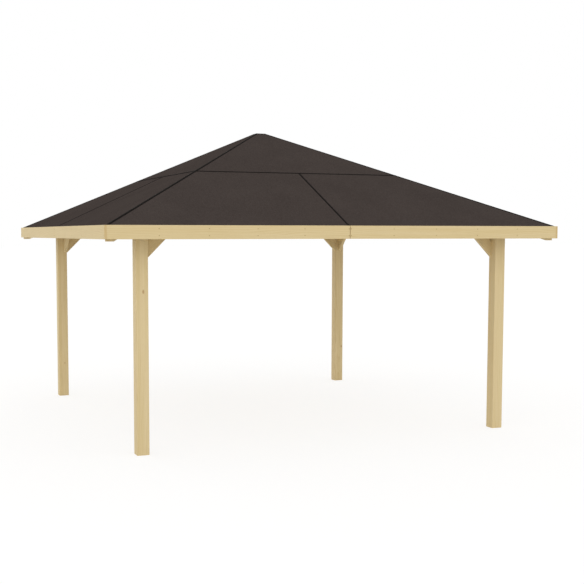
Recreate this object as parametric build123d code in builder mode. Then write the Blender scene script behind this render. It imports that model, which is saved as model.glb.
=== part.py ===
"""Garden gazebo, open on every side.

Four square posts carry a ring of wall plates, half-lapped at the corners and stiffened by
knee braces. On it stands a square hipped roof: hip rafters and common rafters meet at a
king post, and boards covered with roofing felt close the four sides in three panels each.
Fascia boards hide the rafter ends.

Millimetres, +Z up. The origin is on the ground under the middle of the roof, the front
faces -Y and the right side faces +X.
"""

import os
from math import atan, cos, radians, sqrt, tan

from build123d import *

# Posts
post_span = 4080  # over the outer faces of two posts
post_size = 120
post_height = 2135

# Wall plates, flush with the outer faces of the posts
plate_width = 120
plate_height = 120

# Knee braces, cut at 45 degrees at both ends
brace_thickness = 40
brace_depth = 115
brace_leg = 277  # from the corner of post and plate to the brace's long edge
brace_set_back = {"front": 0, "right": 40, "back": 0, "left": 0}  # from the post's inner face

# The edges of planed timber are eased by a small bevel
post_bevel = 4
timber_bevel = 3
fascia_bevel = 2

# Roof frame
roof_pitch = 25
rafter_width = 45
rafter_depth = 80
rafter_bays = 4  # from the middle of a side to the inner face of the plate round the corner
rafter_seat = 19  # depth of the notch over the plate's outer edge
hip_width = 60
hip_depth = 140
hip_tail_drop = 20  # how far a hip rafter's tail hangs below the fascia
king_post_size = 160  # across the flats of its eight sides
king_post_drop = 60  # below the hip rafters
king_post_bevel = 18

# Roof skin, fascia and its joints
eave_span = 4850  # over the outer faces of the fascia
board_thickness = 18
felt_thickness = 4
felt_top_inset = 32  # from the fascia's face to where the felt is level with its top
fascia_thickness = 22
fascia_height = 128
seam_share = 0.522  # of the way from the eave to the apex, where the upper panel starts
apex_size = 102  # the small flat square at the top
panel_gap = 3  # between two roof panels of one side
board_joint = 5  # between two fascia boards end to end

# What follows from them
post_half = post_span / 2
post_inner = post_half - post_size
plate_top = post_height + plate_height
plate_inner_span = post_span - 2 * plate_width
eave_half = eave_span / 2
tail_half = eave_half - fascia_thickness  # where rafters, boards and felt end
apex_half = apex_size / 2
king_half = king_post_size / 2
skin = board_thickness + felt_thickness
slope = tan(radians(roof_pitch))
hip_slope = slope / sqrt(2)
hip_drop = hip_depth / cos(atan(hip_slope))  # depth of a hip rafter measured plumb
hip_cheek = hip_width / sqrt(2)  # from the hip line to its rafter's side, seen in plan
felt_level = eave_half - felt_top_inset
seam_half = felt_level - seam_share * (felt_level - apex_half)


def roof_height(distance, depth=0.0):
    """Height of the roof at a distance from the middle, at a depth square to its slope."""
    top_at_post = plate_top - rafter_seat + (skin + rafter_depth) / cos(radians(roof_pitch))
    return top_at_post + (post_half - distance) * slope - depth / cos(radians(roof_pitch))


fascia_top = roof_height(felt_level)
fascia_bottom = fascia_top - fascia_height
roof_top = roof_height(apex_half)

# Each side by its turn from the front, and each corner by the turn of its diagonal
sides = {"front": 0, "right": 90, "back": 180, "left": 270}
corners = {"front_right": 45, "back_right": 135, "back_left": 225, "front_left": 315}
up = Vector(0, 0, 1)


def outward(turn):
    """Level direction that faces out of a side or a corner."""
    return Vector(0, -1, 0).rotate(Axis.Z, turn)


def section_plane(turn, place=0.0):
    """Upright plane square to a side: x runs outward and y up."""
    across = outward(turn).cross(up)
    return Plane(origin=across * place, x_dir=outward(turn), z_dir=across)


def face_plane(turn, distance):
    """Upright plane along a side: x runs along it and y up, and it faces outward."""
    along = up.cross(outward(turn))
    return Plane(origin=outward(turn) * distance, x_dir=along, z_dir=outward(turn))


def plan_plane(turn, height=0.0):
    """Level plane whose x runs outward."""
    return Plane(origin=(0, 0, height), x_dir=outward(turn), z_dir=up)


def under_roof_plane(turn, depth):
    """Plane parallel to one side of the roof, at a depth below its surface."""
    point = outward(turn) * post_half + up * roof_height(post_half, depth)
    return Plane(origin=point, z_dir=outward(turn) * slope + up)


def outline(plane, points):
    """Face inside a closed run of straight lines."""
    with BuildSketch(plane) as shape:
        with BuildLine():
            Polyline(*points, close=True)
        make_face()
    return shape.sketch


def between_hips(turn, clear):
    """Plan of one roof side, held a clear distance back from its two hip lines."""
    reach = eave_half - clear
    return outline(plan_plane(turn), [(clear, 0), (eave_half, reach), (eave_half, -reach)])


def long_edges(part, direction):
    """Edges of a timber that run along it."""
    return part.edges().filter_by(Axis((0, 0, 0), direction))


def low_edges(part, turn):
    """Edges that run up the roof along the underside of its timbers."""
    hip = turn % 90 != 0
    rise = hip_slope if hip else slope
    depth = (hip_depth if hip else rafter_depth) / 2

    def is_low(edge):
        distance = edge.center().dot(outward(turn))
        level = roof_height(distance / sqrt(2) if hip else distance, skin)
        return edge.center().Z < level - depth

    return long_edges(part, outward(turn) - up * rise).filter_by(is_low)


def layer(turn, top, bottom):
    """Section through a layer of the roof between two depths, from the apex to the eave."""
    return outline(section_plane(turn), [
        (apex_half, roof_height(apex_half, top)),
        (tail_half, roof_height(tail_half, top)),
        (tail_half, roof_height(tail_half, bottom)),
        (apex_half, roof_height(apex_half, bottom)),
    ])


def save(part, name):
    part.label = name
    export_step(part, f"parts/{name}.step")


def make_post(corner, turn):
    """Square post with lightly bevelled long edges, standing flat on the ground."""
    middle = outward(turn) * (post_half - post_size / 2) * sqrt(2)
    with BuildPart() as post:
        with BuildSketch(Plane(origin=middle)):
            Rectangle(post_size, post_size)
        extrude(amount=post_height)
        chamfer(post.edges().filter_by(Axis.Z), post_bevel)
    save(post.part, f"post_{corner}")


def make_plate(side, turn):
    """Wall plate: front and back lie under the other two in the corner half laps."""
    lap_bottom = post_height + plate_height / 2 if side in ("front", "back") else post_height
    with BuildPart() as plate:
        with BuildSketch(section_plane(turn)):
            with Locations((post_half - plate_width / 2, post_height + plate_height / 2)):
                Rectangle(plate_width, plate_height)
        extrude(amount=post_half, both=True)
        chamfer(long_edges(plate, up.cross(outward(turn))), timber_bevel)
        with BuildSketch(face_plane(turn, post_half)):
            for end in (-1, 1):
                with Locations((end * (post_half - plate_width / 2), lap_bottom + plate_height / 4)):
                    Rectangle(plate_width, plate_height / 2)
        extrude(amount=-plate_width, mode=Mode.SUBTRACT)
    save(plate.part, f"wall_plate_{side}")


def make_braces(side, turn):
    """Two boards at 45 degrees between the posts of one side and its wall plate."""
    mitre = brace_depth * sqrt(2)
    toe = post_height - brace_leg
    ends = {"front": ("right", "left"), "right": ("back", "front"),
            "back": ("left", "right"), "left": ("front", "back")}[side]
    for end, direction in zip(ends, (1, -1)):
        corners_of_board = [
            (post_inner, toe),
            (post_inner, toe + mitre),
            (post_inner - brace_leg + mitre, post_height),
            (post_inner - brace_leg, post_height),
        ]
        wall = face_plane(turn, post_inner + brace_set_back[side])
        with BuildPart() as brace:
            with BuildSketch(wall):
                with BuildLine():
                    Polyline(*[(direction * x, y) for x, y in corners_of_board], close=True)
                make_face()
            extrude(amount=brace_thickness)
            chamfer(long_edges(brace, up - wall.x_dir * direction), timber_bevel)
        save(brace.part, f"{side}_brace_{end}")


def make_hip_rafter(corner, turn):
    """Hip rafter: backed to both roof sides, notched over the plates, level-cut tail."""
    end = tail_half * sqrt(2) - hip_width / 2
    foot = fascia_bottom - hip_tail_drop

    def top(distance):
        return roof_height(distance / sqrt(2), skin)

    foot_length = (top(end) - hip_drop - foot) / -hip_slope
    with BuildPart() as rafter:
        with BuildSketch(section_plane(turn)):
            with BuildLine():
                Polyline(
                    (king_half, top(king_half)),
                    (end, top(end)),
                    (end, foot),
                    (end - foot_length, foot),
                    (king_half, top(king_half) - hip_drop),
                    close=True,
                )
            make_face()
        extrude(amount=hip_width / 2, both=True)
        chamfer(low_edges(rafter, turn), timber_bevel)
        for half_turn in (-45, 45):
            split(bisect_by=under_roof_plane(turn + half_turn, skin), keep=Keep.BOTTOM)
        with BuildSketch(Plane.XY.offset(post_height)):
            Rectangle(post_span, post_span)
            Rectangle(plate_inner_span, plate_inner_span, mode=Mode.SUBTRACT)
        extrude(amount=plate_height, mode=Mode.SUBTRACT)
    save(rafter.part, f"hip_rafter_{corner}")


def rafter_places():
    """Where the rafters of one side stand, from its middle out to the hips."""
    spacing = plate_inner_span / 2 / rafter_bays
    return [number * spacing for number in range(-rafter_bays, rafter_bays + 1)]


def make_rafters(side, turn):
    """Common rafters of one side, cut against the hips and notched over the plate."""
    under = skin + rafter_depth
    seat_end = post_half - rafter_seat / slope
    with BuildPart() as rafters:
        for place in rafter_places():
            with BuildSketch(section_plane(turn, place)):
                with BuildLine():
                    Polyline(
                        (king_half, roof_height(king_half, skin)),
                        (tail_half, roof_height(tail_half, skin)),
                        (tail_half, roof_height(tail_half, under)),
                        (post_half, roof_height(post_half, under)),
                        (post_half, plate_top),
                        (seat_end, plate_top),
                        (king_half, roof_height(king_half, under)),
                        close=True,
                    )
                make_face()
            extrude(amount=rafter_width / 2, both=True)
        chamfer(low_edges(rafters, turn), timber_bevel)
        extrude(between_hips(turn, hip_cheek), amount=roof_top, mode=Mode.INTERSECT)
    save(rafters.part, f"rafters_{side}")


def make_noggings(side, turn):
    """Short rails between the rafters, under the seam of the lower and upper panels."""
    middle = Vector(seam_half, roof_height(seam_half, skin + rafter_depth / 2))
    with BuildPart() as noggings:
        with BuildSketch(section_plane(turn)):
            with Locations(Location(middle, -roof_pitch)):
                Rectangle(rafter_width, rafter_depth)
        extrude(amount=seam_half, both=True)
        along = long_edges(noggings, up.cross(outward(turn)))
        chamfer(along.sort_by(Axis.Z)[:2], timber_bevel)
        extrude(between_hips(turn, hip_cheek), amount=roof_top, mode=Mode.INTERSECT)
        with BuildSketch(plan_plane(turn)):
            for place in rafter_places():
                with Locations((seam_half, place)):
                    Rectangle(4 * rafter_depth, rafter_width)
        extrude(amount=roof_top, mode=Mode.SUBTRACT)
    save(noggings.part, f"noggings_{side}")


def make_skin(name, side, turn, top, bottom):
    """One layer of a roof side: two lower panels and an upper one with a seam between."""
    with BuildPart() as panels:
        extrude(layer(turn, top, bottom), amount=eave_half, both=True)
        extrude(between_hips(turn, 0), amount=roof_top, mode=Mode.INTERSECT)
        with BuildSketch(plan_plane(turn)):
            with Locations((seam_half, 0)):
                Rectangle(panel_gap, eave_span)
                Rectangle(eave_half, panel_gap, align=(Align.MIN, Align.CENTER))
        extrude(amount=roof_top, mode=Mode.SUBTRACT)
    save(panels.part, f"{name}_{side}")


def make_fascia(side, turn):
    """Two eased boards end to end along one eave: left and right run past front and back."""
    length = eave_span if side in ("left", "right") else eave_span - 2 * fascia_thickness
    with BuildPart() as fascia:
        with BuildSketch(face_plane(turn, tail_half)):
            with Locations((0, fascia_bottom + fascia_height / 2)):
                Rectangle(length, fascia_height)
                Rectangle(board_joint, fascia_height, mode=Mode.SUBTRACT)
        extrude(amount=fascia_thickness)
        chamfer(fascia.edges(), fascia_bevel)
    save(fascia.part, f"fascia_{side}")


def make_king_post():
    """Eight-sided block at the apex that the hips and the middle rafters run into."""
    hip_bottom = roof_height(king_half / sqrt(2), skin) - hip_drop
    bottom = hip_bottom - king_post_drop
    with BuildPart() as king_post:
        with BuildSketch(Plane.XY.offset(bottom)):
            RegularPolygon(king_half, 8, major_radius=False, rotation=22.5)
        extrude(amount=roof_height(apex_half, skin) - bottom)
        for turn in sides.values():
            split(bisect_by=under_roof_plane(turn, skin), keep=Keep.BOTTOM)
        chamfer(king_post.faces().sort_by(Axis.Z)[0].edges(), king_post_bevel)
    save(king_post.part, "king_post")


def make_apex_cap():
    """Small square of felted board that closes the flat top."""
    with BuildPart() as cap:
        with BuildSketch(Plane.XY.offset(roof_height(apex_half, skin))):
            Rectangle(apex_size, apex_size)
        extrude(amount=roof_height(apex_half) - roof_height(apex_half, skin))
    save(cap.part, "apex_cap")


os.makedirs("parts", exist_ok=True)
for corner, turn in corners.items():
    make_post(corner, turn)
    make_hip_rafter(corner, turn)
for side, turn in sides.items():
    make_plate(side, turn)
    make_braces(side, turn)
    make_rafters(side, turn)
    make_noggings(side, turn)
    make_skin("roof_boards", side, turn, felt_thickness, skin)
    make_skin("roof_felt", side, turn, 0, felt_thickness)
    make_fascia(side, turn)
make_king_post()
make_apex_cap()
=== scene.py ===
from math import atan, cos, pi, radians, sin, sqrt

import bmesh
import bpy
from bpy.props import FloatProperty, FloatVectorProperty, IntProperty, PointerProperty
from mathutils import Matrix, Vector


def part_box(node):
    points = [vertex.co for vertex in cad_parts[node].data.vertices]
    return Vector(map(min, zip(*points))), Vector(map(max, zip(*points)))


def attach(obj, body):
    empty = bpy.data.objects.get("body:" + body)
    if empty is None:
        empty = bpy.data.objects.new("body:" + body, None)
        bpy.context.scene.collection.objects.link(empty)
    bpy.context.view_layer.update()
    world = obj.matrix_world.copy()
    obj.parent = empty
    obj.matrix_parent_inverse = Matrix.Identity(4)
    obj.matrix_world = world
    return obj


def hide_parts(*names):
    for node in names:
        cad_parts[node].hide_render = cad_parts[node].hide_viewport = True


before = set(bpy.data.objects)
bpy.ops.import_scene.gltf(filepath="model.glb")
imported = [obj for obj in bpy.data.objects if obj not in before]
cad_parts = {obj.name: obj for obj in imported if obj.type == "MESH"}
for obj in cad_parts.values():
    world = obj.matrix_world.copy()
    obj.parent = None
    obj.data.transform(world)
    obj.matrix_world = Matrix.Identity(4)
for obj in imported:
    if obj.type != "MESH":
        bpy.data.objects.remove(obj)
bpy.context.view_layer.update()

bl_info = {
    "name": "Garden gazebo finish",
    "version": (1, 0, 0),
    "blender": (4, 5, 0),
    "location": "3D View > Sidebar > Gazebo",
    "description": "Dresses an open timber gazebo with a felted hip roof",
    "category": "Object",
}

# The construction as the frame gives it, in metres. The front faces -Y.
felt_low, felt_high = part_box("roof_felt_front")
boards_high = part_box("roof_boards_front")[1]
cap_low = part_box("apex_cap")[0]
fascia_low, fascia_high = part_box("fascia_front")
plate_low, plate_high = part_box("wall_plate_front")

TAIL = -felt_low.y  # from the middle to the back of the fascia
APEX = -felt_high.y  # half the flat square at the top
ROOF_TOP = felt_high.z
FELT_PLUMB = ROOF_TOP - boards_high.z  # thicknesses measured straight down
SKIN_PLUMB = ROOF_TOP - cap_low.z
SLOPE = (ROOF_TOP - felt_low.z - FELT_PLUMB) / (TAIL - APEX)
PITCH = atan(SLOPE)
HIP_PITCH = atan(SLOPE / sqrt(2))
BOARD_THICKNESS = (SKIN_PLUMB - FELT_PLUMB) * cos(PITCH)
EAVE = -fascia_low.y

SIDES = {"front": 0, "right": 90, "back": 180, "left": 270}
CORNERS = {"front_right": 45, "back_right": 135, "back_left": 225, "front_left": 315}
UP = Vector((0, 0, 1))
RAFTER_APART = 0.1  # more than the width of a rafter, and less than the gap between two

# What the patterns of the finishes measure, in metres. Pores in the wood are far finer, and
# are drawn coarse enough to show.
GLUED_LAYER = 0.040
LAYER_SHIFT = 3.7  # how far the grain moves on from one board or layer to the next
RING_BEND = 0.17
RING_SWAY = 0.09
RING_STRETCH = 8  # how much longer the bends of a growth ring are along the grain
STREAK_LENGTH, STREAK_WIDTH = 1.1, 0.045
PORE_LENGTH, PORE_WIDTH = 0.11, 0.003
KNOT_HEART, KNOT_EDGE = 0.0075, 0.0175  # radii
KNOT_STRETCH = 1.4  # how much longer a knot is along the grain
FELT_PATCH = 0.45
MASTIC_LUMP = 0.011
PLATING_BLOTCH = 0.004
FLOOR_CLOUD = 1.7
WAVE_PERIOD = pi / 10  # of a wave texture whose scale is 1

# Where the screws and nails go, in metres
FASCIA_EDGE = 0.032  # from a screw to the fascia's upper or lower edge
BESIDE_JOINT = 0.012
BRACE_ENDS = (0.045, 0.075)  # from the two screws at an end of a brace to its tip
ABOVE_PLATE = 0.028
NAIL_INSET = 0.022  # from a felt nail to the edge or joint beside it

# The stage
FLOOR_HALF = 150.0  # metres
FLOOR_LIFT, FLOOR_WHITE = 0.7, 1.12  # share and strength of the white that the camera sees
HORIZON_LIGHT, ZENITH_LIGHT = 1.31, 0.61
KEY_STRENGTH, KEY_SPREAD, KEY_DIRECTION = 0.35, 50, (0.6, 1.0, -0.35)  # the spread in degrees


def seam_distance():
    """How far from the middle the lower roof panels end and the upper one starts."""
    clear = 0.01
    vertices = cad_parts["roof_boards_front"].data.vertices
    inner = [v.co.y for v in vertices if -TAIL + clear < v.co.y < -APEX - clear]
    return -(min(inner) + max(inner)) / 2


def rafter_places():
    """Where the rafters stand along the front, from the solids in their node."""
    groups = []
    for x in sorted(rafter_ends()):
        if not groups or x - groups[-1][-1] > RAFTER_APART:
            groups.append([x])
        groups[-1].append(x)
    return [(group[0] + group[-1]) / 2 for group in groups]


def rafter_ends():
    """Where the corners of the front rafters' ends lie along the front."""
    touching = 0.001
    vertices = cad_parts["rafters_front"].data.vertices
    return [v.co.x for v in vertices if v.co.y < -TAIL + touching]


def braces(side):
    """Names of the two braces under one side."""
    return [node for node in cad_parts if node.startswith(f"{side}_brace_")]


def roof_height(distance):
    """Height of the felt's surface at a level distance from the middle."""
    return ROOF_TOP - (distance - APEX) * SLOPE


def outward(turn):
    """Level direction that faces out of a side or a corner."""
    return Matrix.Rotation(radians(turn), 3, "Z") @ Vector((0, -1, 0))


def linear(code):
    """Linear colour for an sRGB hex code."""
    values = [int(code[i:i + 2], 16) / 255 for i in (1, 3, 5)]
    return tuple(v / 12.92 if v <= 0.04045 else ((v + 0.055) / 1.055) ** 2.4 for v in values)


def length(name, description, default):
    """Property for a length in metres."""
    return FloatProperty(name=name, description=description, default=default, min=0, unit="LENGTH")


def colour(name, description, code):
    """Property for a colour, with an sRGB hex code as its default."""
    return FloatVectorProperty(
        name=name, description=description, default=linear(code), size=3, min=0, max=1,
        subtype="COLOR")


class GazeboSizes(bpy.types.PropertyGroup):
    """Sizes of what the finish adds"""
    board_width: length("Board width", "Cover width of one roof board", 0.121)
    board_groove: length("Board groove", "Width of the bevel on each side of a board joint", 0.003)
    board_play: length("Board play", "Open joint between two boards", 0.0006)
    seam_bead: length("Seam bead", "Width of the bitumen bead over a joint in the felt", 0.024)
    hip_bead: length("Hip bead", "Width of the bitumen bead along a hip", 0.030)
    screw_head: length("Screw head", "Diameter of a countersunk screw head", 0.0095)
    nail_head: length("Felt nail head", "Diameter of a felt nail's head", 0.0095)
    nail_spacing: length("Nail spacing", "From one felt nail to the next", 0.12)
    knot_spacing: length("Knot spacing", "Typical distance between two knots", 0.34)
    ring_width: length("Growth ring", "Width of a growth ring, drawn coarse enough to show", 0.011)
    granule: length(
        "Felt granule", "Size of a mineral granule, drawn coarse enough to show", 0.006)


class GazeboColours(bpy.types.PropertyGroup):
    """Colours of the finish"""
    wood: colour("Spruce", "Early wood of planed spruce", "#D6C190")
    wood_light: colour("Light spruce", "Palest boards", "#DECBA0")
    wood_dark: colour("Late wood", "Dark lines of the growth rings", "#C3A672")
    knot: colour("Knot", "Heart of a knot", "#AE8A5E")
    felt: colour("Roofing felt", "Bitumen felt between the granules", "#38312F")
    felt_light: colour("Felt granules", "Mineral granules on the felt", "#534B47")
    bitumen: colour("Bitumen", "Sealing beads in the joints of the felt", "#14110F")
    zinc: colour("Zinc", "Yellow zinc plating of the screws", "#BFA878")
    nail: colour("Felt nail", "Hot-dip galvanised nail heads, weathered dark", "#3B3634")
    floor: colour("Floor", "Pale floor under the gazebo", "#F4F3F1")


class GazeboSettings(bpy.types.PropertyGroup):
    """All settings of the gazebo's finish"""
    sizes: PointerProperty(type=GazeboSizes)
    colours: PointerProperty(type=GazeboColours)
    seed: IntProperty(name="Seed", description="Seed of the boards' random tones", default=7)


def settings():
    """The settings that the sidebar shows."""
    return bpy.context.scene.gazebo


def add(tree, kind, inputs=None, **properties):
    """Adds one node with its properties, and its inputs as values or incoming links.

    Where a node has several inputs of one name, they go by number. A Map Range takes its value
    in 0, the range it comes from in 1 and 2, and the range it goes to in 3 and 4. A Mix of
    colours takes the share of the second in 0, and the colours in 6 and 7.
    """
    made = tree.nodes.new(kind)
    for name, value in properties.items():
        setattr(made, name, value)
    for key, value in (inputs or {}).items():
        if isinstance(value, bpy.types.NodeSocket):
            tree.links.new(value, made.inputs[key])
        else:
            made.inputs[key].default_value = value
    return made


def new_material(name):
    """Empty node material, with its shader tree."""
    material = bpy.data.materials.new(name)
    material.use_nodes = True
    material.node_tree.nodes.clear()
    return material, material.node_tree


def opaque(value):
    """A colour with full alpha, as shader sockets take it."""
    return (*value, 1.0)


def spruce(name, grain, tone_attribute=None, glued=None, shade=0.0):
    """Planed spruce, untreated: satin, with soft growth rings, late wood lines and a few knots.

    The grain is the direction in which the piece was sawn. Glued timber has its layers
    stacked along the direction given by glued, each with its own tone. Shade deepens the
    darkest tone, and so widens the range between one board and the next.
    """
    sizes, colours = settings().sizes, settings().colours
    material, tree = new_material(name)
    place = add(tree, "ShaderNodeTexCoord").outputs["Object"]
    turn = Vector(grain).rotation_difference(Vector((1, 0, 0))).to_euler()
    along = add(tree, "ShaderNodeMapping", {"Vector": place, "Rotation": turn})
    board = add(tree, "ShaderNodeAttribute",
                attribute_name=tone_attribute or "none").outputs["Fac"]
    if glued is not None:
        # Each glued layer is a board of its own: its number shifts the pattern and the tone
        height = add(tree, "ShaderNodeVectorMath", {0: place, 1: Vector(glued) / GLUED_LAYER},
                     operation="DOT_PRODUCT").outputs["Value"]
        layer = add(tree, "ShaderNodeMath", {0: height}, operation="FLOOR").outputs[0]
        board = add(tree, "ShaderNodeTexWhiteNoise", {"W": layer},
                    noise_dimensions="1D").outputs["Value"]
    shift = add(tree, "ShaderNodeCombineXYZ", {0: board, 1: board, 2: board})
    spread = add(tree, "ShaderNodeVectorMath", {0: shift.outputs[0], "Scale": LAYER_SHIFT},
                 operation="SCALE")
    grain_place = add(tree, "ShaderNodeVectorMath",
                      {0: along.outputs[0], 1: spread.outputs[0]}, operation="ADD").outputs[0]

    # Growth rings: arcs round a pith that lies beside the piece, wavering along the grain
    long_place = add(tree, "ShaderNodeMapping",
                     {"Vector": grain_place, "Scale": (1 / RING_STRETCH, 1, 1)})
    waver = add(tree, "ShaderNodeTexNoise",
                {"Vector": long_place.outputs[0], "Scale": 1 / RING_BEND, "Detail": 2.0})
    bent = add(tree, "ShaderNodeVectorMath", {0: waver.outputs["Color"], "Scale": RING_SWAY},
               operation="SCALE")
    ring_place = add(tree, "ShaderNodeVectorMath",
                     {0: long_place.outputs[0], 1: bent.outputs[0]}, operation="ADD")
    rings = add(tree, "ShaderNodeTexWave",
                {"Vector": ring_place.outputs[0], "Scale": WAVE_PERIOD / sizes.ring_width,
                 "Distortion": 0.6, "Detail": 2.0, "Detail Scale": 1.5},
                wave_type="RINGS", rings_direction="X", wave_profile="SAW").outputs["Fac"]
    late = add(tree, "ShaderNodeMapRange", {0: rings, 1: 0.55, 2: 1.0, 3: 0.0, 4: 0.34}).outputs[0]

    # Broad streaks along the grain, and fine pores
    streak_size = (1 / STREAK_LENGTH, 1 / STREAK_WIDTH, 1 / STREAK_WIDTH)
    streak_place = add(tree, "ShaderNodeMapping", {"Vector": grain_place, "Scale": streak_size})
    streaks = add(tree, "ShaderNodeTexNoise", {"Vector": streak_place.outputs[0], "Scale": 1.0,
                                               "Detail": 3.0}).outputs["Fac"]
    pore_size = (1 / PORE_LENGTH, 1 / PORE_WIDTH, 1 / PORE_WIDTH)
    pore_place = add(tree, "ShaderNodeMapping", {"Vector": grain_place, "Scale": pore_size})
    pores = add(tree, "ShaderNodeTexNoise", {"Vector": pore_place.outputs[0], "Scale": 1.0,
                                             "Detail": 2.0}).outputs["Fac"]

    # Knots: small ovals where a branch meets the surface
    apart = sizes.knot_spacing
    knot_size = (1 / (apart * KNOT_STRETCH), 1 / apart, 1 / apart)
    knot_place = add(tree, "ShaderNodeMapping", {"Vector": grain_place, "Scale": knot_size})
    cells = add(tree, "ShaderNodeTexVoronoi", {"Vector": knot_place.outputs[0], "Scale": 1.0},
                feature="F1").outputs["Distance"]
    heart = add(tree, "ShaderNodeMapRange",
                {0: cells, 1: KNOT_HEART / apart, 2: KNOT_EDGE / apart,
                 3: 0.75, 4: 0.0}).outputs[0]

    tone = add(tree, "ShaderNodeMapRange", {0: streaks, 1: 0.3, 2: 0.7, 3: 0.0, 4: 0.7}).outputs[0]
    own = add(tree, "ShaderNodeMath", {0: board, 1: 0.45, 2: tone},
              operation="MULTIPLY_ADD").outputs[0]
    deepest = Vector(colours.wood).lerp(Vector(colours.wood_dark), shade)
    base = add(tree, "ShaderNodeMix",
               {0: own, 6: opaque(deepest), 7: opaque(colours.wood_light)},
               data_type="RGBA").outputs[2]
    ringed = add(tree, "ShaderNodeMix", {0: late, 6: base, 7: opaque(colours.wood_dark)},
                 data_type="RGBA").outputs[2]
    pore_share = add(tree, "ShaderNodeMapRange",
                     {0: pores, 1: 0.58, 2: 0.8, 3: 0.0, 4: 0.35}).outputs[0]
    pored = add(tree, "ShaderNodeMix", {0: pore_share, 6: ringed, 7: opaque(colours.wood_dark)},
                data_type="RGBA").outputs[2]
    knotted = add(tree, "ShaderNodeMix", {0: heart, 6: pored, 7: opaque(colours.knot)},
                  data_type="RGBA").outputs[2]

    # End grain soaks up more light than the planed faces
    facing = add(tree, "ShaderNodeNewGeometry").outputs["Normal"]
    endwise = add(tree, "ShaderNodeVectorMath", {0: facing, 1: Vector(grain).normalized()},
                  operation="DOT_PRODUCT").outputs["Value"]
    size = add(tree, "ShaderNodeMath", {0: endwise}, operation="ABSOLUTE").outputs[0]
    end = add(tree, "ShaderNodeMapRange", {0: size, 1: 0.6, 2: 0.95, 3: 0.0, 4: 0.6}).outputs[0]
    finished = add(tree, "ShaderNodeMix", {0: end, 6: knotted, 7: opaque(colours.wood_dark)},
                   data_type="RGBA").outputs[2]

    relief = add(tree, "ShaderNodeMath", {0: rings, 1: 0.5, 2: pores},
                 operation="MULTIPLY_ADD").outputs[0]
    bump = add(tree, "ShaderNodeBump", {"Height": relief, "Distance": 0.0004, "Strength": 0.5})
    rough = add(tree, "ShaderNodeMapRange",
                {0: streaks, 1: 0.3, 2: 0.7, 3: 0.5, 4: 0.62}).outputs[0]
    shader = add(tree, "ShaderNodeBsdfPrincipled",
                 {"Base Color": finished, "Roughness": rough, "IOR": 1.5,
                  "Specular IOR Level": 0.2, "Normal": bump.outputs[0]})
    add(tree, "ShaderNodeOutputMaterial", {"Surface": shader.outputs[0]})
    return material


def roofing_felt():
    """Bitumen felt strewn with mineral: matt and gritty, with faint patches from rolling."""
    sizes, colours = settings().sizes, settings().colours
    material, tree = new_material("bitumen_felt_mineral_strewn")
    place = add(tree, "ShaderNodeTexCoord").outputs["Object"]
    grit = add(tree, "ShaderNodeTexVoronoi", {"Vector": place, "Scale": 1 / sizes.granule},
               feature="F1").outputs["Color"]
    grit_tone = add(tree, "ShaderNodeSeparateColor", {0: grit}).outputs[0]
    patches = add(tree, "ShaderNodeTexNoise",
                  {"Vector": place, "Scale": 1 / FELT_PATCH, "Detail": 4.0}).outputs["Fac"]
    patch_tone = add(tree, "ShaderNodeMapRange",
                     {0: patches, 1: 0.3, 2: 0.7, 3: 0.22, 4: 0.38}).outputs[0]
    share = add(tree, "ShaderNodeMath", {0: grit_tone, 1: 0.5, 2: patch_tone},
                operation="MULTIPLY_ADD").outputs[0]
    finished = add(tree, "ShaderNodeMix",
                   {0: share, 6: opaque(colours.felt), 7: opaque(colours.felt_light)},
                   data_type="RGBA").outputs[2]
    bump = add(tree, "ShaderNodeBump", {"Height": grit_tone, "Distance": 0.001, "Strength": 0.7})
    rough = add(tree, "ShaderNodeMapRange",
                {0: patches, 1: 0.3, 2: 0.7, 3: 0.9, 4: 1.0}).outputs[0]
    shader = add(tree, "ShaderNodeBsdfPrincipled",
                 {"Base Color": finished, "Roughness": rough, "Specular IOR Level": 0.0,
                  "Normal": bump.outputs[0]})
    add(tree, "ShaderNodeOutputMaterial", {"Surface": shader.outputs[0]})
    return material


def bitumen():
    """Cold bitumen mastic pressed out of a joint: near black, smooth in places, dull in others."""
    material, tree = new_material("bitumen_mastic_troweled")
    place = add(tree, "ShaderNodeTexCoord").outputs["Object"]
    lumps = add(tree, "ShaderNodeTexNoise",
                {"Vector": place, "Scale": 1 / MASTIC_LUMP, "Detail": 3.0}).outputs["Fac"]
    black = settings().colours.bitumen
    dusty = tuple(1.7 * value for value in black)
    finished = add(tree, "ShaderNodeMix", {0: lumps, 6: opaque(black), 7: opaque(dusty)},
                   data_type="RGBA").outputs[2]
    rough = add(tree, "ShaderNodeMapRange",
                {0: lumps, 1: 0.3, 2: 0.7, 3: 0.75, 4: 0.95}).outputs[0]
    bump = add(tree, "ShaderNodeBump", {"Height": lumps, "Distance": 0.0008, "Strength": 0.5})
    shader = add(tree, "ShaderNodeBsdfPrincipled",
                 {"Base Color": finished, "Roughness": rough, "Specular IOR Level": 0.05,
                  "Normal": bump.outputs[0]})
    add(tree, "ShaderNodeOutputMaterial", {"Surface": shader.outputs[0]})
    return material


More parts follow.
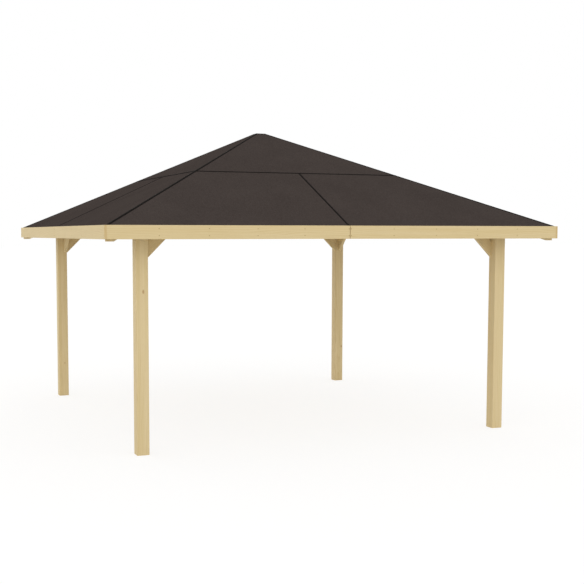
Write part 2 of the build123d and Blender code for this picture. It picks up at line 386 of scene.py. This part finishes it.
def plated_steel(name, tint, roughness):
    """Plated steel: a metal whose coat is blotchy from the bath and scuffed by the driver."""
    material, tree = new_material(name)
    place = add(tree, "ShaderNodeTexCoord").outputs["Object"]
    blotches = add(tree, "ShaderNodeTexNoise",
                   {"Vector": place, "Scale": 1 / PLATING_BLOTCH, "Detail": 3.0}).outputs["Fac"]
    dark = tuple(0.75 * value for value in tint)
    finished = add(tree, "ShaderNodeMix", {0: blotches, 6: opaque(dark), 7: opaque(tint)},
                   data_type="RGBA").outputs[2]
    rough = add(tree, "ShaderNodeMapRange",
                {0: blotches, 1: 0.3, 2: 0.7, 3: roughness, 4: roughness + 0.2}).outputs[0]
    bump = add(tree, "ShaderNodeBump", {"Height": blotches, "Distance": 0.0001, "Strength": 0.4})
    shader = add(tree, "ShaderNodeBsdfPrincipled",
                 {"Base Color": finished, "Metallic": 1.0, "Roughness": rough,
                  "Normal": bump.outputs[0]})
    add(tree, "ShaderNodeOutputMaterial", {"Surface": shader.outputs[0]})
    return material


def pale_floor():
    """Smooth pale screed, white to the camera where no shadow falls, and clear from below."""
    material, tree = new_material("screed_pale_troweled")
    place = add(tree, "ShaderNodeTexCoord").outputs["Object"]
    cloud = add(tree, "ShaderNodeTexNoise",
                {"Vector": place, "Scale": 1 / FLOOR_CLOUD, "Detail": 3.0}).outputs["Fac"]
    pale = settings().colours.floor
    dull = tuple(0.97 * value for value in pale)
    tone = add(tree, "ShaderNodeMix", {0: cloud, 6: opaque(dull), 7: opaque(pale)},
               data_type="RGBA").outputs[2]
    diffuse = add(tree, "ShaderNodeBsdfDiffuse", {"Color": tone})
    white = add(tree, "ShaderNodeEmission", {"Color": (1, 1, 1, 1), "Strength": FLOOR_WHITE})
    lifted = add(tree, "ShaderNodeMixShader",
                 {0: FLOOR_LIFT, 1: diffuse.outputs[0], 2: white.outputs[0]})
    surface = add(tree, "ShaderNodeMixShader",
                  {0: seen_straight(tree), 1: diffuse.outputs[0], 2: lifted.outputs[0]})
    clear = add(tree, "ShaderNodeBsdfTransparent")
    below = add(tree, "ShaderNodeNewGeometry").outputs["Backfacing"]
    one_sided = add(tree, "ShaderNodeMixShader",
                    {0: below, 1: surface.outputs[0], 2: clear.outputs[0]})
    add(tree, "ShaderNodeOutputMaterial", {"Surface": one_sided.outputs[0]})
    return material


def seen_straight(tree):
    """1 for what the camera sees, straight, in a reflection or through glass, and 0 for light."""
    path = add(tree, "ShaderNodeLightPath")
    pair = add(tree, "ShaderNodeMath",
               {0: path.outputs["Is Camera Ray"], 1: path.outputs["Is Glossy Ray"]},
               operation="MAXIMUM")
    return add(tree, "ShaderNodeMath",
               {0: pair.outputs[0], 1: path.outputs["Is Transmission Ray"]},
               operation="MAXIMUM").outputs[0]


def wear(node, material):
    """Gives a solid of the frame its finish, in the object's own material slots."""
    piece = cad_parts[node]
    if not piece.material_slots:
        piece.data.materials.append(material)
    for slot in piece.material_slots:
        slot.material = material


def show(name, mesh, material=None, stands_for=None):
    """Puts a finished mesh in the scene as a piece that rides on the gazebo's one body."""
    piece = link(name, mesh)
    if material is not None:
        mesh.materials.clear()
        mesh.materials.append(material)
    if stands_for:
        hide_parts(stands_for)
    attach(piece, "root")


def node_tree(name, sockets):
    """Empty geometry tree with named inputs. Returns the tree and its input node."""
    tree = bpy.data.node_groups.new(name, "GeometryNodeTree")
    tree.interface.new_socket(name="Geometry", in_out="INPUT", socket_type="NodeSocketGeometry")
    for label, kind in sockets.items():
        tree.interface.new_socket(name=label, in_out="INPUT", socket_type=f"NodeSocket{kind}")
    tree.interface.new_socket(name="Geometry", in_out="OUTPUT", socket_type="NodeSocketGeometry")
    return tree, tree.nodes.new("NodeGroupInput")


def close_tree(tree, geometry, material):
    """Ends a geometry tree in plain triangles with their material."""
    real = add(tree, "GeometryNodeRealizeInstances", {0: geometry})
    painted = add(tree, "GeometryNodeSetMaterial",
                  {"Geometry": real.outputs[0], "Material": material})
    add(tree, "NodeGroupOutput", {0: painted.outputs[0]})


def link(name, data):
    """Object in the scene that holds a mesh, a lamp or a camera."""
    made = bpy.data.objects.new(name, data)
    bpy.context.scene.collection.objects.link(made)
    return made


def plain(carrier):
    """The mesh of an object with its one modifier applied. The object goes."""
    bpy.context.view_layer.update()
    evaluated = carrier.evaluated_get(bpy.context.evaluated_depsgraph_get())
    mesh = bpy.data.meshes.new_from_object(evaluated)
    carrier.modifiers.clear()
    bpy.data.objects.remove(carrier)
    return mesh


def grow(tree, mesh, values):
    """Runs a geometry tree on a mesh and returns the result as a plain mesh."""
    carrier = link("carrier", mesh)
    modifier = carrier.modifiers.new("grow", "NODES")
    modifier.node_group = tree
    for item in tree.interface.items_tree:
        if item.in_out == "INPUT" and item.name in values:
            modifier[item.identifier] = values[item.name]
    return plain(carrier)


def joined(meshes):
    """One mesh out of several."""
    whole = bmesh.new()
    for mesh in meshes:
        whole.from_mesh(mesh)
    result = bpy.data.meshes.new("joined")
    whole.to_mesh(result)
    whole.free()
    for material in meshes[0].materials:
        result.materials.append(material)
    return result


def prism(outline, start, end):
    """Closed bar along X with an outline given in Y and Z."""
    shape = bmesh.new()
    near = [shape.verts.new((start, y, z)) for y, z in outline]
    far = [shape.verts.new((end, y, z)) for y, z in outline]
    count = len(outline)
    for i in range(count):
        j = (i + 1) % count
        shape.faces.new((near[i], near[j], far[j], far[i]))
    shape.faces.new(near[::-1])
    shape.faces.new(far)
    bmesh.ops.recalc_face_normals(shape, faces=shape.faces)
    mesh = bpy.data.meshes.new("prism")
    shape.to_mesh(mesh)
    shape.free()
    return mesh


def board_rows_tree(material):
    """Rows of boards up the front roof side, cut off at the hips, the seams and the eave.

    Each board's own tone is a random number stored on it. The tree works on the front and
    turns the result to its side at the end.
    """
    tree, given = node_tree("board_rows", {
        "Rows": "Int", "Start": "Vector", "Step": "Vector", "Slope": "Float",
        "Low": "Float", "High": "Float", "Left": "Float", "Right": "Float",
        "Turn": "Rotation", "Seed": "Int"})
    line = add(tree, "GeometryNodeMeshLine",
               {"Count": given.outputs["Rows"], "Start Location": given.outputs["Start"],
                "Offset": given.outputs["Step"]}, mode="OFFSET")
    rows = add(tree, "GeometryNodeInstanceOnPoints",
               {"Points": line.outputs[0], "Instance": given.outputs["Geometry"]})
    chance = add(tree, "FunctionNodeRandomValue", {2: 0.0, 3: 1.0, "Seed": given.outputs["Seed"]},
                 data_type="FLOAT")
    toned = add(tree, "GeometryNodeStoreNamedAttribute",
                {"Geometry": rows.outputs[0], "Name": "board", "Value": chance.outputs[1]},
                data_type="FLOAT", domain="INSTANCE")
    real = add(tree, "GeometryNodeRealizeInstances", {0: toned.outputs[0]})

    position = add(tree, "GeometryNodeInputPosition").outputs[0]
    x, y, z = add(tree, "ShaderNodeSeparateXYZ", {0: position}).outputs
    y_low = add(tree, "ShaderNodeMath", {0: y, 1: given.outputs["Low"]},
                operation="MAXIMUM").outputs[0]
    y_cut = add(tree, "ShaderNodeMath", {0: y_low, 1: given.outputs["High"]},
                operation="MINIMUM").outputs[0]
    moved = add(tree, "ShaderNodeMath", {0: y_cut, 1: y}, operation="SUBTRACT").outputs[0]
    z_cut = add(tree, "ShaderNodeMath", {0: moved, 1: given.outputs["Slope"], 2: z},
                operation="MULTIPLY_ADD").outputs[0]
    hip = add(tree, "ShaderNodeMath", {0: y_cut, 1: -1.0}, operation="MULTIPLY").outputs[0]
    right = add(tree, "ShaderNodeMath", {0: hip, 1: given.outputs["Right"]},
                operation="MINIMUM").outputs[0]
    left = add(tree, "ShaderNodeMath", {0: y_cut, 1: given.outputs["Left"]},
               operation="MAXIMUM").outputs[0]
    x_right = add(tree, "ShaderNodeMath", {0: x, 1: right}, operation="MINIMUM").outputs[0]
    x_cut = add(tree, "ShaderNodeMath", {0: x_right, 1: left}, operation="MAXIMUM").outputs[0]
    cut = add(tree, "ShaderNodeCombineXYZ", {0: x_cut, 1: y_cut, 2: z_cut})
    set_back = add(tree, "GeometryNodeSetPosition",
                   {"Geometry": real.outputs[0], "Position": cut.outputs[0]})
    turned = add(tree, "GeometryNodeTransform",
                 {"Geometry": set_back.outputs[0], "Rotation": given.outputs["Turn"]})
    close_tree(tree, turned.outputs[0], material)
    return tree


def bead_tree(material):
    """Flattened bead of mastic along every edge of a wire mesh."""
    tree, given = node_tree("sealing_beads", {"Radius": "Float", "Flatness": "Float"})
    path = add(tree, "GeometryNodeMeshToCurve", {0: given.outputs["Geometry"]})
    level = add(tree, "GeometryNodeSetCurveNormal", {"Curve": path.outputs[0]}, mode="Z_UP")
    ring = add(tree, "GeometryNodeCurvePrimitiveCircle",
               {"Resolution": 12, "Radius": given.outputs["Radius"]}, mode="RADIUS")
    squeeze = add(tree, "ShaderNodeCombineXYZ", {0: 1.0, 1: given.outputs["Flatness"], 2: 1.0})
    oval = add(tree, "GeometryNodeTransform",
               {"Geometry": ring.outputs[0], "Scale": squeeze.outputs[0]})
    bead = add(tree, "GeometryNodeCurveToMesh",
               {"Curve": level.outputs[0], "Profile Curve": oval.outputs[0], "Fill Caps": True})
    close_tree(tree, bead.outputs[0], material)
    return tree


def heads_tree(material):
    """A fixing's head on every vertex of a mesh, turned to face the way stored on it."""
    tree, given = node_tree("fixing_heads", {"Head": "Object", "Seed": "Int"})
    head = add(tree, "GeometryNodeObjectInfo", {"Object": given.outputs["Head"]})
    facing = add(tree, "GeometryNodeInputNamedAttribute", {"Name": "facing"},
                 data_type="FLOAT_VECTOR")
    upright = add(tree, "FunctionNodeAlignRotationToVector", {"Vector": facing.outputs[0]},
                  axis="Z")
    twist = add(tree, "FunctionNodeRandomValue",
                {2: 0.0, 3: 2 * pi, "Seed": given.outputs["Seed"]}, data_type="FLOAT")
    spin = add(tree, "FunctionNodeAxisAngleToRotation",
               {"Axis": (0, 0, 1), "Angle": twist.outputs[1]})
    turned = add(tree, "FunctionNodeRotateRotation",
                 {"Rotation": upright.outputs[0], "Rotate By": spin.outputs[0]},
                 rotation_space="LOCAL")
    placed = add(tree, "GeometryNodeInstanceOnPoints",
                 {"Points": given.outputs["Geometry"], "Instance": head.outputs["Geometry"],
                  "Rotation": turned.outputs[0]})
    close_tree(tree, placed.outputs[0], material)
    return tree


def placed_points(points):
    """Mesh of loose vertices, each with the way that its fixing faces."""
    mesh = bpy.data.meshes.new("points")
    mesh.from_pydata([place for place, way in points], [], [])
    facing = mesh.attributes.new("facing", "FLOAT_VECTOR", "POINT")
    facing.data.foreach_set("vector", [value for place, way in points for value in way])
    return mesh


def lathe(profile, segments, star=(), pinch=0.62):
    """Closed turned shape from radius and height pairs.

    In the rings that star names, every other point is pulled in, for a star-shaped recess.
    """
    shape = bmesh.new()
    rings = []
    for number, (radius, height) in enumerate(profile):
        ring = []
        for step in range(segments):
            angle = 2 * pi * step / segments
            reach = radius * (pinch if number in star and step % 2 else 1.0)
            ring.append(shape.verts.new((reach * cos(angle), reach * sin(angle), height)))
        rings.append(ring)
    for low, high in zip(rings, rings[1:]):
        for step in range(segments):
            after = (step + 1) % segments
            shape.faces.new((low[step], low[after], high[after], high[step]))
    shape.faces.new(rings[0][::-1])
    shape.faces.new(rings[-1])
    bmesh.ops.recalc_face_normals(shape, faces=shape.faces)
    mesh = bpy.data.meshes.new("head")
    shape.to_mesh(mesh)
    shape.free()
    return mesh


def heads(points, head_mesh, material):
    """One mesh of fixings, with a head at every place given."""
    head = link("head", head_mesh)
    values = {"Head": head, "Seed": settings().seed}
    mesh = grow(heads_tree(material), placed_points(points), values)
    bpy.data.objects.remove(head)
    return mesh


class GAZEBO_OT_timber(bpy.types.Operator):
    """Finishes the posts, plates, braces, rafters and fascias in planed spruce"""
    bl_idname = "gazebo.timber"
    bl_label = "Timber frame"

    def execute(self, context):
        for corner, turn in CORNERS.items():
            way = outward(turn)
            wear(f"post_{corner}", spruce(f"glued_spruce_post_{corner}", UP, glued=(1, 0, 0)))
            fall = way * cos(HIP_PITCH) - UP * sin(HIP_PITCH)
            wear(f"hip_rafter_{corner}", spruce(f"glued_spruce_hip_{corner}", fall, glued=UP))
        wear("king_post", spruce("glued_spruce_king_post", UP, glued=(1, 0, 0)))
        for side, turn in SIDES.items():
            way = outward(turn)
            along = UP.cross(way)
            wear(f"wall_plate_{side}",
                 spruce(f"glued_spruce_plate_{side}", along, glued=UP, shade=0.15))
            fall = way * cos(PITCH) - UP * sin(PITCH)
            wear(f"rafters_{side}", spruce(f"planed_spruce_rafters_{side}", fall))
            wear(f"noggings_{side}", spruce(f"planed_spruce_noggings_{side}", along))
            wear(f"fascia_{side}", spruce(f"planed_spruce_fascia_{side}", along))
            for node in braces(side):
                low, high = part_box(node)
                toward_post = 1 if (low + high).dot(along) > 0 else -1
                finish = spruce(f"planed_spruce_{node}", along * toward_post - UP, shade=0.1)
                wear(node, finish)
        return {"FINISHED"}


class GAZEBO_OT_roof_boards(bpy.types.Operator):
    """Lays the tongued and grooved roof boards of all four sides"""
    bl_idname = "gazebo.roof_boards"
    bl_label = "Roof boards"

    def execute(self, context):
        sizes = settings().sizes
        seam = seam_distance()
        gap = self.panel_gap()
        panels = [
            (TAIL, seam + gap, -TAIL, -gap),
            (TAIL, seam + gap, gap, TAIL),
            (seam - gap, APEX, -TAIL, TAIL),
        ]
        for side, turn in SIDES.items():
            across = UP.cross(outward(turn))
            finish = spruce(f"planed_spruce_boards_{side}", across, "board", shade=0.7)
            tree = board_rows_tree(finish)
            meshes = []
            for number, (eaveward, apexward, left, right) in enumerate(panels):
                run = (eaveward - apexward) / cos(PITCH)
                rows = max(1, round(run / sizes.board_width))
                cover = run / rows
                start = Vector((0, -eaveward, roof_height(eaveward) - SKIN_PLUMB))
                step = Vector((0, cos(PITCH), sin(PITCH))) * cover
                meshes.append(grow(tree, self.board(cover), {
                    "Rows": rows, "Start": start, "Step": step, "Slope": SLOPE,
                    "Low": -eaveward, "High": -apexward, "Left": left, "Right": right,
                    "Turn": (0, 0, radians(turn)), "Seed": settings().seed + turn + number}))
            show(f"boards_{side}", joined(meshes), stands_for=f"roof_boards_{side}")
        return {"FINISHED"}

    def panel_gap(self):
        """Half the open joint between the two lower panels."""
        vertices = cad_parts["roof_boards_front"].data.vertices
        return min(abs(v.co.x) for v in vertices)

    def board(self, cover):
        """One board with a bevel along both lower edges, lying in the slope of the front side."""
        sizes = settings().sizes
        width, groove, top = cover - sizes.board_play, sizes.board_groove, BOARD_THICKNESS
        outline = [(groove, 0), (width - groove, 0), (width, groove),
                   (width, top), (0, top), (0, groove)]
        c, s = cos(PITCH), sin(PITCH)
        return prism([(a * c - b * s, a * s + b * c) for a, b in outline], -TAIL, TAIL)


class GAZEBO_OT_roof_felt(bpy.types.Operator):
    """Finishes the roofing felt and seals its joints with bitumen"""
    bl_idname = "gazebo.roof_felt"
    bl_label = "Roofing felt"
    flatness: FloatProperty(
        name="Flatness", description="Height of a bead as a share of its width", default=0.45,
        min=0.1, max=1, subtype="FACTOR")

    def execute(self, context):
        felt = roofing_felt()
        wear("apex_cap", felt)
        for side in SIDES:
            wear(f"roof_felt_{side}", felt)
        sizes = settings().sizes
        seam = seam_distance()
        seams = [((-seam, seam), (seam, seam)), ((0, TAIL), (0, seam))]
        hip = [((TAIL, TAIL), (APEX, APEX)), ((-APEX, APEX), (APEX, APEX))]
        tree = bead_tree(bitumen())
        for side, turn in SIDES.items():
            beads = []
            for lines, width in ((seams, sizes.seam_bead), (hip, sizes.hip_bead)):
                wire = self.wire(lines, width / 2 * self.flatness, turn)
                beads.append(grow(tree, wire, {"Radius": width / 2, "Flatness": self.flatness}))
            show(f"sealing_bead_{side}", joined(beads))
        return {"FINISHED"}

    def wire(self, lines, half_height, turn):
        """The middles of the beads on one side, a little sunk in the felt but below the top."""
        sunk = half_height * 0.3
        turned = Matrix.Rotation(radians(turn), 3, "Z")
        wire = bmesh.new()
        for ends in lines:
            pair = []
            for along, distance in ends:
                height = min(roof_height(distance) - sunk, ROOF_TOP - half_height)
                pair.append(wire.verts.new(turned @ Vector((along, -distance, height))))
            wire.edges.new(pair)
        mesh = bpy.data.meshes.new("joints")
        wire.to_mesh(mesh)
        wire.free()
        return mesh


class GAZEBO_OT_fixings(bpy.types.Operator):
    """Sets the screws of fascias, braces and rafters and the nails of the felt"""
    bl_idname = "gazebo.fixings"
    bl_label = "Screws and nails"

    def execute(self, context):
        colours = settings().colours
        screw = plated_steel("steel_yellow_zinc_plated", colours.zinc, 0.35)
        nail = plated_steel("steel_galvanised_weathered", colours.nail, 0.55)
        for side, turn in SIDES.items():
            into_fascia = self.fascia_screws(side, turn)
            into_braces = self.brace_screws(side, turn)
            into_rafters = self.rafter_screws(turn)
            self.countersink(f"fascia_{side}", "fascia_board", into_fascia)
            self.countersink(f"rafters_{side}", "sawn_timber", into_rafters)
            for node in braces(side):
                self.countersink(node, "post_timber", into_braces)
            for name, places, slot in (("fascia", into_fascia, "fascia_board"),
                                       ("braces", into_braces, "post_timber"),
                                       ("rafters", into_rafters, "sawn_timber")):
                show(f"screws_{name}_{side}", heads(places, self.screw_head(), screw))
            nails = heads(self.felt_nails(turn), self.nail_head(), nail)
            show(f"nails_felt_{side}", nails)
        return {"FINISHED"}

    def countersink(self, node, slot, places):
        """Shows a timber of the frame again, with a countersink for each screw."""
        r = settings().sizes.screw_head / 2
        # A cone a little wider than the head, which stands proud of the face so that it cuts it
        sink = lathe([(r * 0.5, -r * 0.9), (r * 1.12, -0.0001), (r * 1.2, 0.0015)], 16)
        cutter = link("cutter", heads(places, sink, None))
        timber = bmesh.new()
        timber.from_mesh(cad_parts[node].data)
        bmesh.ops.remove_doubles(timber, verts=timber.verts, dist=1e-5)
        whole = bpy.data.meshes.new("whole")
        timber.to_mesh(whole)
        timber.free()
        carrier = link("carrier", whole)
        bore = carrier.modifiers.new("countersinks", "BOOLEAN")
        bore.object, bore.operation, bore.solver = cutter, "DIFFERENCE", "EXACT"
        mesh = plain(carrier)
        bpy.data.objects.remove(cutter)
        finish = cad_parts[node].material_slots[0].material
        show(f"bored_{node}", mesh, finish, stands_for=node)

    def screw_head(self):
        """Countersunk head with a star-shaped drive, just below the face of the wood."""
        r = settings().sizes.screw_head / 2
        profile = [(r * 0.6, -r * 0.75), (r, -r * 0.2), (r * 0.96, -r * 0.1),
                   (r * 0.52, -r * 0.06), (r * 0.5, -r * 0.14), (r * 0.4, -r * 0.55)]
        return lathe(profile, 12, star=(4, 5))

    def nail_head(self):
        """Flat round head, slightly crowned."""
        r = settings().sizes.nail_head / 2
        return lathe([(r, -0.0008), (r, 0.0006), (r * 0.8, 0.0011), (r * 0.3, 0.0014)], 10)

    def fascia_screws(self, side, turn):
        """Two screws through the fascia into each rafter end, and two beside each joint."""
        way = outward(turn)
        along = UP.cross(way)
        levels = [fascia_low.z + FASCIA_EDGE, fascia_high.z - FASCIA_EDGE]
        places = []
        for place in rafter_places():
            at_joint = abs(place) < BESIDE_JOINT
            places += [-BESIDE_JOINT, BESIDE_JOINT] if at_joint else [place]
        if side in ("left", "right"):
            middle = (TAIL + EAVE) / 2
            places += [-middle, middle]
        return [(way * EAVE + along * place + UP * level, way)
                for place in places for level in levels]

    def brace_screws(self, side, turn):
        """Two screws near each end of a brace, driven in through its lower edge."""
        along = UP.cross(outward(turn))
        points = []
        for node in braces(side):
            low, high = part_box(node)
            middle = (low + high) / 2
            toward_post = 1 if middle.dot(along) > 0 else -1
            half = (high - low).dot(UP) / 2
            toe = middle + along * toward_post * half - UP * half
            head = middle - along * toward_post * half + UP * half
            facing = (-along * toward_post - UP).normalized()
            run = (head - toe).normalized()
            reach = (head - toe).length
            near, far = BRACE_ENDS
            for distance in (near, far, reach - far, reach - near):
                points.append((toe + run * distance, facing))
        return points

    def rafter_screws(self, turn):
        """A screw in each cheek of a rafter where it stands on the wall plate."""
        way = outward(turn)
        along = UP.cross(way)
        half = self.rafter_width() / 2
        level = plate_high.z + ABOVE_PLATE
        on_plate = -(plate_low.y + plate_high.y) / 2
        points = []
        for place in rafter_places()[1:-1]:
            for cheek in (-1, 1):
                spot = way * on_plate + along * (place + cheek * half) + UP * level
                points.append((spot, along * cheek))
        return points

    def rafter_width(self):
        """Thickness of a rafter, from the solid that ends at the middle of the front."""
        middle = [x for x in rafter_ends() if abs(x) < RAFTER_APART]
        return max(middle) - min(middle)

    def felt_nails(self, turn):
        """Nails along the eave and on both sides of the joints in the felt."""
        spacing = settings().sizes.nail_spacing
        seam = seam_distance()
        inset = NAIL_INSET
        normal = Vector((0, -sin(PITCH), cos(PITCH)))
        rows = []
        for distance in (TAIL - inset, seam + inset, seam - inset):
            count = int((distance - 2 * inset) / spacing)
            rows += [(spacing * number, distance) for number in range(-count, count + 1)]
        rows = [(along if abs(along) > inset else along + inset, distance)
                for along, distance in rows]
        steps = int((TAIL - seam) / spacing)
        for number in range(1, steps):
            rows += [(edge, TAIL - number * spacing) for edge in (-inset, inset)]
        turned = Matrix.Rotation(radians(turn), 3, "Z")
        return [(turned @ Vector((along, -distance, roof_height(distance))), turned @ normal)
                for along, distance in rows]


class GAZEBO_OT_stage(bpy.types.Operator):
    """Sets up the pale floor, the soft light and the camera"""
    bl_idname = "gazebo.stage"
    bl_label = "Floor, light and camera"

    def execute(self, context):
        self.floor()
        self.light()
        self.camera()
        context.scene.view_settings.view_transform = "Standard"
        return {"FINISHED"}

    def floor(self):
        """Flat floor that reaches to the horizon."""
        mesh = bpy.data.meshes.new("floor")
        corners = [(-1, -1), (1, -1), (1, 1), (-1, 1)]
        mesh.from_pydata([(x * FLOOR_HALF, y * FLOOR_HALF, 0) for x, y in corners],
                         [], [(0, 1, 2, 3)])
        mesh.materials.append(pale_floor())
        floor = link("floor", mesh)

    def light(self):
        """Soft light from all round, strongest near the horizon, and a weak broad key light.

        The light near the horizon reaches under the roof. The key light comes from the left of
        the front, so that the faces of a post differ a little.
        """
        world = bpy.data.worlds.new("soft_light_all_round")
        bpy.context.scene.world = world
        world.use_nodes = True
        tree = world.node_tree
        tree.nodes.clear()
        way = add(tree, "ShaderNodeTexCoord").outputs["Generated"]
        height = add(tree, "ShaderNodeSeparateXYZ", {0: way}).outputs[2]
        strength = add(tree, "ShaderNodeMapRange",
                       {0: height, 1: 0.0, 2: 1.0, 3: HORIZON_LIGHT, 4: ZENITH_LIGHT}).outputs[0]
        sky = add(tree, "ShaderNodeBackground", {"Color": (1, 1, 1, 1), "Strength": strength})
        white = add(tree, "ShaderNodeBackground", {"Color": (1, 1, 1, 1), "Strength": 1.0})
        both = add(tree, "ShaderNodeMixShader",
                   {0: seen_straight(tree), 1: sky.outputs[0], 2: white.outputs[0]})
        add(tree, "ShaderNodeOutputWorld", {"Surface": both.outputs[0]})
        lamp = bpy.data.lights.new("soft_key", "SUN")
        lamp.energy = KEY_STRENGTH
        lamp.angle = radians(KEY_SPREAD)
        key = link("soft_key", lamp)
        key.rotation_mode = "QUATERNION"
        key.rotation_quaternion = Vector(KEY_DIRECTION).to_track_quat("-Z", "Y")

    def camera(self):
        """The photograph's viewpoint, solved from the edges of posts, fascias and roof."""
        image = 584  # pixels, the photograph's width and height
        middle = (image - 1) / 2
        focal, centre_x, centre_y = 1043.4, 252.0, 316.4  # in pixels, of that frame
        yaw, tilt = 0.36648, -0.07977  # radians, right of +Y and above the horizon
        lens = bpy.data.cameras.new("viewpoint")
        lens.sensor_width = 36
        lens.lens = focal / image * lens.sensor_width
        lens.shift_x = (middle - centre_x) / image
        lens.shift_y = (centre_y - middle) / image
        lens.clip_end = 500
        camera = link("viewpoint", lens)
        camera.location = (-4.5236, -11.5627, 2.1077)
        camera.rotation_euler = (pi / 2 + tilt, 0, -yaw)
        bpy.context.scene.camera = camera


class GAZEBO_PT_sidebar(bpy.types.Panel):
    """Sizes, colours and steps of the gazebo's finish"""
    bl_idname = "GAZEBO_PT_sidebar"
    bl_label = "Garden gazebo"
    bl_space_type = "VIEW_3D"
    bl_region_type = "UI"
    bl_category = "Gazebo"

    def draw(self, context):
        layout = self.layout
        for group in (settings().sizes, settings().colours):
            box = layout.box()
            for name in group.__annotations__:
                box.prop(group, name)
        layout.prop(settings(), "seed")
        for step in STEPS:
            layout.operator(step.bl_idname)


STEPS = (GAZEBO_OT_timber, GAZEBO_OT_roof_boards, GAZEBO_OT_roof_felt, GAZEBO_OT_fixings,
         GAZEBO_OT_stage)
CLASSES = (GazeboSizes, GazeboColours, GazeboSettings, *STEPS, GAZEBO_PT_sidebar)


def register():
    for kind in CLASSES:
        bpy.utils.register_class(kind)
    bpy.types.Scene.gazebo = PointerProperty(type=GazeboSettings)


def unregister():
    del bpy.types.Scene.gazebo
    for kind in reversed(CLASSES):
        bpy.utils.unregister_class(kind)


def main():
    register()
    bpy.ops.gazebo.timber()
    bpy.ops.gazebo.roof_boards()
    bpy.ops.gazebo.roof_felt()
    bpy.ops.gazebo.fixings()
    bpy.ops.gazebo.stage()


if __name__ == "__main__":
    main()
